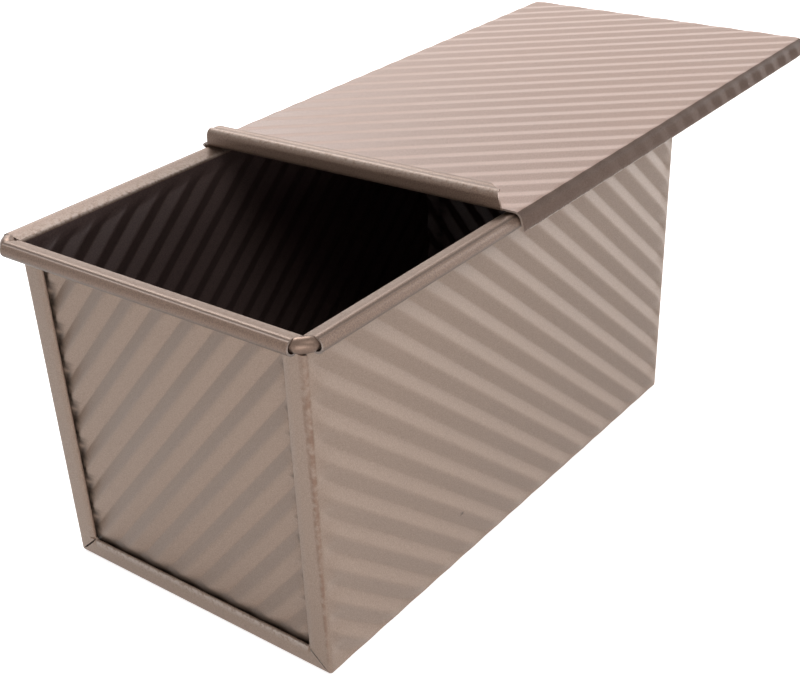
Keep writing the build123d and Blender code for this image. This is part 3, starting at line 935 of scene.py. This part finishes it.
def add_spot(material, colour, low, high, strength):
    """Tints the coat inside a box, given by two corners in millimetres, unevenly and softly."""
    tree = material.node_tree
    base = tree.nodes["Principled BSDF"].inputs["Base Color"]
    place = add_node(tree, "ShaderNodeTexCoord", {}).outputs["Object"]
    split = add_node(tree, "ShaderNodeSeparateXYZ", {"Vector": place})
    share = map_range(tree, noise(tree, place, SPOT_SCALE, 3, 0.5), *SPOT_RANGE, 0.0, strength)
    for axis, start, end in zip("XYZ", low, high):
        offset = maths(tree, "SUBTRACT", split.outputs[axis], (start + end) / 2 * MM)
        away = maths(tree, "ABSOLUTE", offset)
        size = (end - start) * MM
        near = map_range(tree, away, size / 2, size / 4, kind="SMOOTHSTEP")
        share = maths(tree, "MULTIPLY", share, near)
    tree.links.new(mixed(tree, share, base.links[0].from_socket, colour), base)


def shows_white(tree):
    """A value that is 1 for what the camera, a reflection or glass sees, and 0 for the rest."""
    ray = add_node(tree, "ShaderNodeLightPath", {})
    value = ray.outputs["Is Camera Ray"]
    for kind in ("Is Glossy Ray", "Is Transmission Ray"):
        value = maths(tree, "MAXIMUM", value, ray.outputs[kind])
    return value


def make_floor():
    """A plain pale floor that shows as white and keeps a soft shadow."""
    mesh = bpy.data.meshes.new("floor")
    corners = [
        (x * FLOOR_HALF_SIZE, y * FLOOR_HALF_SIZE, 0) for x, y in ((-1, -1), (1, -1), (1, 1), (-1, 1))
    ]
    mesh.from_pydata(corners, [], [(0, 1, 2, 3)])
    floor = add_object("floor", mesh)
    floor.location.z = -FLOOR_DROP
    material, tree, shader = principled("floor_paper")
    shader.inputs["Base Color"].default_value = (0.8, 0.8, 0.8, 1)
    shader.inputs["Roughness"].default_value = 0.9
    shader.inputs["Emission Color"].default_value = (1, 1, 1, 1)
    glow = map_range(tree, shows_white(tree), 0.0, 1.0, 0.0, FLOOR_GLOW)
    tree.links.new(glow, shader.inputs["Emission Strength"])
    mesh.materials.append(material)


def make_world():
    """White to the camera and in reflections, and a plain soft light for the rest."""
    world = bpy.data.worlds.new("studio")
    world.use_nodes = True
    bpy.context.scene.world = world
    tree = world.node_tree
    background = tree.nodes["Background"]
    background.inputs["Color"].default_value = (1, 1, 1, 1)
    strength = map_range(tree, shows_white(tree), 0.0, 1.0, WORLD_LIGHT, 1.0)
    tree.links.new(strength, background.inputs["Strength"])


def area_light(name, place, size, watts):
    """A soft square lamp that looks at the pan from a place."""
    lamp = bpy.data.lights.new(name, "AREA")
    lamp.shape = "SQUARE"
    lamp.size = size
    lamp.energy = watts
    light = add_object(name, lamp)
    light.location = place
    light.visible_camera = False
    light.rotation_mode = "QUATERNION"
    light.rotation_quaternion = (LAMP_AIM - Vector(place)).to_track_quat("-Z", "Y")


def make_camera():
    """The photograph's viewpoint, worked out from the pan's corners."""
    focal_px = 1347.5
    width_px = 800
    azimuth, elevation, roll = math.radians(-51.74), math.radians(28.16), math.radians(-2.64)
    target = Vector((-102.6, -87.0, 121.0)) * MM
    distance = 302.0 * MM
    back = Vector((
        math.sin(azimuth) * math.cos(elevation),
        -math.cos(azimuth) * math.cos(elevation),
        math.sin(elevation),
    ))
    right = (-back).cross(Vector((0, 0, 1))).normalized()
    up = right.cross(-back)
    turned_right = right * math.cos(roll) + up * math.sin(roll)
    turned_up = up * math.cos(roll) - right * math.sin(roll)
    data = bpy.data.cameras.new("camera")
    data.sensor_width = 36.0
    data.lens = focal_px / width_px * data.sensor_width
    data.clip_start = 0.01
    camera = add_object("camera", data)
    turn = Matrix((turned_right, turned_up, back)).transposed()
    camera.matrix_world = Matrix.Translation(target + back * distance) @ turn.to_4x4()
    bpy.context.scene.camera = camera


# Each coat: its main colour and its darker one, then its shader
outside = coated(
    "champagne_coat", srgb(186, 161, 144), srgb(152, 128, 112), metallic=0.0, roughness=0.42, specular=0.4,
)
# The rims' coat is a darker copy of the champagne coat: painted shade for the dark surroundings the rolls
# reflect, with its own colour for painted highlights
rim = coated(
    "champagne_rim_shaded", srgb(152, 127, 111), srgb(112, 90, 77), metallic=0.25, roughness=0.45,
    grain=0.45, bump=0.2, specular=0.4, painted_light_tone=srgb(190, 172, 160),
)
inside = coated(
    "dark_nonstick", srgb(110, 91, 87), srgb(64, 51, 49), metallic=0.0, roughness=0.4, specular=0.6,
)
edge = coated(
    "cut_edge", srgb(188, 169, 158), srgb(154, 136, 125), metallic=0.2, roughness=0.45, grain=0.2,
)
# The lid's top coat is lighter and warmer than the body's; part of that lightness is painted light, raising
# the lid to its lit brightness
plate = coated(
    "champagne_lid", srgb(208, 176, 161), srgb(177, 146, 132), metallic=0.0, roughness=0.42, specular=0.4,
)
# A darker, duller copy of the coat for the lid's sides: painted shade
folded = coated(
    "champagne_fold_shaded", srgb(134, 113, 102), srgb(104, 85, 76), metallic=0.0, roughness=0.65, specular=0.05,
)
# The wire's base colour is darkened to stand in for the dark surroundings it reflects: painted shade
wire = coated(
    "wire_metal", srgb(128, 107, 94), srgb(84, 67, 58), metallic=0.8, roughness=0.38, grain=0.2,
)

# The photograph shows a brown tint down the nearest upright fold, and one dark speck low on the side
add_spot(outside, srgb(124, 84, 60), (-99.1, -55.2, -12.0), (-97.2, -51.0, 122.0), 0.6)
add_spot(outside, srgb(84, 70, 62), (-33.9, -56.0, 17.2), (-32.1, -50.0, 18.8), 0.9)

pan_finishes = [inside, outside, edge, rim, rim, edge]
body = make_body_sheet(pan_finishes)
near = make_end_sheet("end_sheet_near", pan_finishes, -1)
far = make_end_sheet("end_sheet_far", pan_finishes, 1)
ring = make_rim_wire(wire)
lid = make_lid_sheet([plate, outside, edge, outside, rim, rim, folded, outside, edge])

for piece, node, slot in (
    (body, "body_shell", "coated_steel"),
    (near, "end_panel_near", "coated_steel"),
    (far, "end_panel_far", "coated_steel"),
    (ring, "rim_wire", "bright_wire"),
):
    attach(piece, "pan")
    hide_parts(node)
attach(lid, "lid")
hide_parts("lid")

make_floor()
make_world()
for lamp in LAMPS:
    area_light(*lamp)
make_camera()
bpy.context.scene.view_settings.view_transform = "Standard"
